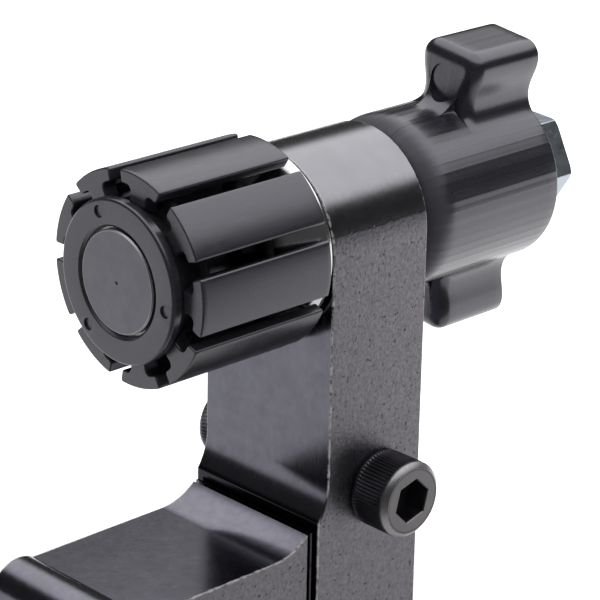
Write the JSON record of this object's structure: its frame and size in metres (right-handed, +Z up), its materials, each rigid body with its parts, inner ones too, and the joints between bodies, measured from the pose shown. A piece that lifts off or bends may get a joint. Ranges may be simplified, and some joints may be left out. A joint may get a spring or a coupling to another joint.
{
  "type": "ring clamp",
  "caption": "Bench ring clamp: an expanding collet of loose jaws on a round-headed arm, tightened from behind by a wing knob, the arm tilting over a shelf block base.",
  "frame": {"origin": "midway between the two base bolt holes, on the mounting face under the base", "axes": "+Z up from the mounting face; the collet points along -Y and the wing knob along +Y; X is the tilt axis"},
  "size_m": [0.0242, 0.0585, 0.0597],
  "materials": {
    "black_steel": "black oxide, satin, pitted on the sides and worn bright along the edges",
    "screw_black": "black oxide, knurled",
    "bright_steel": "turned bright",
    "turned_steel": "turned, grey",
    "jaw_plastic": "dark grey moulded, satin",
    "ring_rubber": "matte black",
    "zinc": "bright zinc plate",
    "knob_plastic": "black moulded, semi-gloss"
  },
  "bodies": {
    "base": {"base_block": "black_steel", "right_pivot_screw": "screw_black", "left_pivot_screw": "screw_black"},
    "arm": {"arm": "black_steel", "rear_cone": "bright_steel", "thrust_washer": "zinc"},
    "knob": {"wing_knob": "knob_plastic", "draw_bolt": "zinc", "bolt_washer": "zinc", "lock_nut": "zinc"},
    "drawbar": {"taper_plug": "turned_steel", "front_cone": "jaw_plastic", "guide_key": "turned_steel"},
    "o_rings": {"front_o_ring": "ring_rubber", "rear_o_ring": "ring_rubber"},
    "jaw_1": {"jaw_1": "jaw_plastic"},
    "jaw_2": {"jaw_2": "jaw_plastic"},
    "jaw_3": {"jaw_3": "jaw_plastic"},
    "jaw_4": {"jaw_4": "jaw_plastic"},
    "jaw_5": {"jaw_5": "jaw_plastic"},
    "jaw_6": {"jaw_6": "jaw_plastic"},
    "jaw_7": {"jaw_7": "jaw_plastic"},
    "jaw_8": {"jaw_8": "jaw_plastic"},
    "jaw_9": {"jaw_9": "jaw_plastic"}
  },
  "joints": [
    {"name": "arm_tilt", "type": "hinge", "parent": "base", "child": "arm", "pos_m": [0, 0.0061, 0.0234], "axis": [1, 0, 0], "range_deg": [0, 30]},
    {"name": "knob_turn", "type": "hinge", "parent": "arm", "child": "knob", "pos_m": [0, 0.012, 0.046], "axis": [0, -1, 0], "range_deg": [-361, 361]},
    {"name": "cone_draw", "type": "slide", "parent": "arm", "child": "drawbar", "axis": [0, 1, 0], "range_m": [-0.00106, 0.00106]},
    {"name": "o_ring_follow", "type": "slide", "parent": "arm", "child": "o_rings", "axis": [0, 1, 0], "range_m": [-0.00054, 0.00054]},
    {"name": "jaw_1_spread", "type": "slide", "parent": "arm", "child": "jaw_1", "axis": [0.5, 0.866, 0], "range_m": [-0.00062, 0.00062]},
    {"name": "jaw_2_spread", "type": "slide", "parent": "arm", "child": "jaw_2", "axis": [0.383, 0.866, 0.3214], "range_m": [-0.00062, 0.00062]},
    {"name": "jaw_3_spread", "type": "slide", "parent": "arm", "child": "jaw_3", "axis": [0.0868, 0.866, 0.4924], "range_m": [-0.00062, 0.00062]},
    {"name": "jaw_4_spread", "type": "slide", "parent": "arm", "child": "jaw_4", "axis": [-0.25, 0.866, 0.433], "range_m": [-0.00062, 0.00062]},
    {"name": "jaw_5_spread", "type": "slide", "parent": "arm", "child": "jaw_5", "axis": [-0.4698, 0.866, 0.171], "range_m": [-0.00062, 0.00062]},
    {"name": "jaw_6_spread", "type": "slide", "parent": "arm", "child": "jaw_6", "axis": [-0.4698, 0.866, -0.171], "range_m": [-0.00062, 0.00062]},
    {"name": "jaw_7_spread", "type": "slide", "parent": "arm", "child": "jaw_7", "axis": [-0.25, 0.866, -0.433], "range_m": [-0.00062, 0.00062]},
    {"name": "jaw_8_spread", "type": "slide", "parent": "arm", "child": "jaw_8", "axis": [0.0868, 0.866, -0.4924], "range_m": [-0.00062, 0.00062]},
    {"name": "jaw_9_spread", "type": "slide", "parent": "arm", "child": "jaw_9", "axis": [0.383, 0.866, -0.3214], "range_m": [-0.00062, 0.00062]}
  ],
  "couplings": [
    {"joint": "knob_turn", "follows": "cone_draw", "rad_per_m": 5927.5},
    {"joint": "o_ring_follow", "follows": "cone_draw", "ratio": 0.5},
    {"joint": "jaw_1_spread", "follows": "cone_draw", "ratio": 0.57735},
    {"joint": "jaw_2_spread", "follows": "cone_draw", "ratio": 0.57735},
    {"joint": "jaw_3_spread", "follows": "cone_draw", "ratio": 0.57735},
    {"joint": "jaw_4_spread", "follows": "cone_draw", "ratio": 0.57735},
    {"joint": "jaw_5_spread", "follows": "cone_draw", "ratio": 0.57735},
    {"joint": "jaw_6_spread", "follows": "cone_draw", "ratio": 0.57735},
    {"joint": "jaw_7_spread", "follows": "cone_draw", "ratio": 0.57735},
    {"joint": "jaw_8_spread", "follows": "cone_draw", "ratio": 0.57735},
    {"joint": "jaw_9_spread", "follows": "cone_draw", "ratio": 0.57735}
  ]
}
